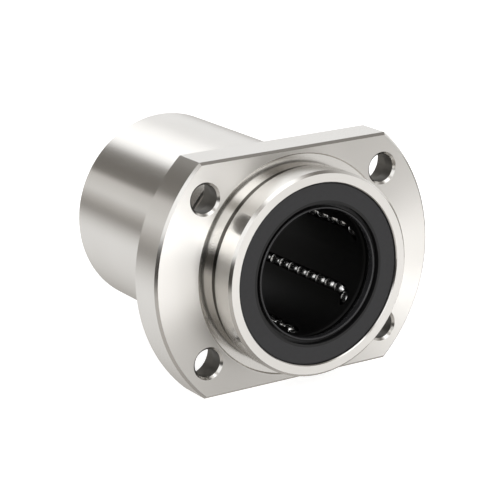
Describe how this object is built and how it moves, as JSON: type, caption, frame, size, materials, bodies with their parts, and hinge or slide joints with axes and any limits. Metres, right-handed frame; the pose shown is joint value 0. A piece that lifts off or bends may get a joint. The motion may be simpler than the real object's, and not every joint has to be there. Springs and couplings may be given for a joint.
{
  "type": "flanged linear ball bearing",
  "caption": "Linear ball bearing with a steel sleeve, a flange cut with two flats, a pilot end, counterbored screw holes, rubber end seals and recirculating ball circuits.",
  "frame": {"origin": "on the shaft axis, in the flange face that the pilot stands on", "axes": "-Y along the shaft axis out of the pilot end, +X along the flats of the flange, +Z square to the flats"},
  "size_m": [0.062, 0.059, 0.046],
  "materials": {
    "bearing_steel": "ground",
    "cage_resin": "moulded",
    "seal_rubber": "moulded",
    "ball_steel": "polished"
  },
  "bodies": {
    "housing": {"flanged_sleeve": "bearing_steel", "ball_cage": "cage_resin", "front_seal": "seal_rubber", "rear_seal": "seal_rubber"},
    "load_rows": {"load_row_balls_1": "ball_steel", "load_row_balls_2": "ball_steel", "load_row_balls_3": "ball_steel", "load_row_balls_4": "ball_steel", "load_row_balls_5": "ball_steel", "load_row_balls_6": "ball_steel"},
    "return_rows": {"return_row_balls_1": "ball_steel", "return_row_balls_2": "ball_steel", "return_row_balls_3": "ball_steel", "return_row_balls_4": "ball_steel", "return_row_balls_5": "ball_steel", "return_row_balls_6": "ball_steel"},
    "front_turn_1": {"front_turn_balls_1": "ball_steel"},
    "rear_turn_1": {"rear_turn_balls_1": "ball_steel"},
    "front_turn_2": {"front_turn_balls_2": "ball_steel"},
    "rear_turn_2": {"rear_turn_balls_2": "ball_steel"},
    "front_turn_3": {"front_turn_balls_3": "ball_steel"},
    "rear_turn_3": {"rear_turn_balls_3": "ball_steel"},
    "front_turn_4": {"front_turn_balls_4": "ball_steel"},
    "rear_turn_4": {"rear_turn_balls_4": "ball_steel"},
    "front_turn_5": {"front_turn_balls_5": "ball_steel"},
    "rear_turn_5": {"rear_turn_balls_5": "ball_steel"},
    "front_turn_6": {"front_turn_balls_6": "ball_steel"},
    "rear_turn_6": {"rear_turn_balls_6": "ball_steel"}
  },
  "joints": [
    {"name": "load_rows_travel", "type": "slide", "parent": "housing", "child": "load_rows", "axis": [0, -1, 0], "range_m": [-0.0029, 0.0003]},
    {"name": "return_rows_travel", "type": "slide", "parent": "housing", "child": "return_rows", "axis": [0, 1, 0], "range_m": [-0.0029, 0.0003]},
    {"name": "front_turn_1_travel", "type": "hinge", "parent": "housing", "child": "front_turn_1", "pos_m": [0.01399, 0.0014, 0.00371], "axis": [0.8862, 0, 0.4633], "range_deg": [-52.5, 5.6]},
    {"name": "rear_turn_1_travel", "type": "hinge", "parent": "housing", "child": "rear_turn_1", "pos_m": [0.01399, 0.0416, 0.00371], "axis": [0.8862, 0, 0.4633], "range_deg": [-52.5, 5.6]},
    {"name": "front_turn_2_travel", "type": "hinge", "parent": "housing", "child": "front_turn_2", "pos_m": [0.00379, 0.0014, 0.01397], "axis": [0.0419, 0, 0.9991], "range_deg": [-52.5, 5.6]},
    {"name": "rear_turn_2_travel", "type": "hinge", "parent": "housing", "child": "rear_turn_2", "pos_m": [0.00379, 0.0416, 0.01397], "axis": [0.0419, 0, 0.9991], "range_deg": [-52.5, 5.6]},
    {"name": "front_turn_3_travel", "type": "hinge", "parent": "housing", "child": "front_turn_3", "pos_m": [-0.01021, 0.0014, 0.01027], "axis": [-0.8443, 0, 0.5358], "range_deg": [-52.5, 5.6]},
    {"name": "rear_turn_3_travel", "type": "hinge", "parent": "housing", "child": "rear_turn_3", "pos_m": [-0.01021, 0.0416, 0.01027], "axis": [-0.8443, 0, 0.5358], "range_deg": [-52.5, 5.6]},
    {"name": "front_turn_4_travel", "type": "hinge", "parent": "housing", "child": "front_turn_4", "pos_m": [-0.01399, 0.0014, -0.00371], "axis": [-0.8862, 0, -0.4633], "range_deg": [-52.5, 5.6]},
    {"name": "rear_turn_4_travel", "type": "hinge", "parent": "housing", "child": "rear_turn_4", "pos_m": [-0.01399, 0.0416, -0.00371], "axis": [-0.8862, 0, -0.4633], "range_deg": [-52.5, 5.6]},
    {"name": "front_turn_5_travel", "type": "hinge", "parent": "housing", "child": "front_turn_5", "pos_m": [-0.00379, 0.0014, -0.01397], "axis": [-0.0419, 0, -0.9991], "range_deg": [-52.5, 5.6]},
    {"name": "rear_turn_5_travel", "type": "hinge", "parent": "housing", "child": "rear_turn_5", "pos_m": [-0.00379, 0.0416, -0.01397], "axis": [-0.0419, 0, -0.9991], "range_deg": [-52.5, 5.6]},
    {"name": "front_turn_6_travel", "type": "hinge", "parent": "housing", "child": "front_turn_6", "pos_m": [0.01021, 0.0014, -0.01027], "axis": [0.8443, 0, -0.5358], "range_deg": [-52.5, 5.6]},
    {"name": "rear_turn_6_travel", "type": "hinge", "parent": "housing", "child": "rear_turn_6", "pos_m": [0.01021, 0.0416, -0.01027], "axis": [0.8443, 0, -0.5358], "range_deg": [-52.5, 5.6]}
  ],
  "couplings": [
    {"joint": "return_rows_travel", "follows": "load_rows_travel", "ratio": 1},
    {"joint": "front_turn_1_travel", "follows": "load_rows_travel", "rad_per_m": 312.6},
    {"joint": "rear_turn_1_travel", "follows": "load_rows_travel", "rad_per_m": 312.6},
    {"joint": "front_turn_2_travel", "follows": "load_rows_travel", "rad_per_m": 312.6},
    {"joint": "rear_turn_2_travel", "follows": "load_rows_travel", "rad_per_m": 312.6},
    {"joint": "front_turn_3_travel", "follows": "load_rows_travel", "rad_per_m": 312.6},
    {"joint": "rear_turn_3_travel", "follows": "load_rows_travel", "rad_per_m": 312.6},
    {"joint": "front_turn_4_travel", "follows": "load_rows_travel", "rad_per_m": 312.6},
    {"joint": "rear_turn_4_travel", "follows": "load_rows_travel", "rad_per_m": 312.6},
    {"joint": "front_turn_5_travel", "follows": "load_rows_travel", "rad_per_m": 312.6},
    {"joint": "rear_turn_5_travel", "follows": "load_rows_travel", "rad_per_m": 312.6},
    {"joint": "front_turn_6_travel", "follows": "load_rows_travel", "rad_per_m": 312.6},
    {"joint": "rear_turn_6_travel", "follows": "load_rows_travel", "rad_per_m": 312.6}
  ]
}
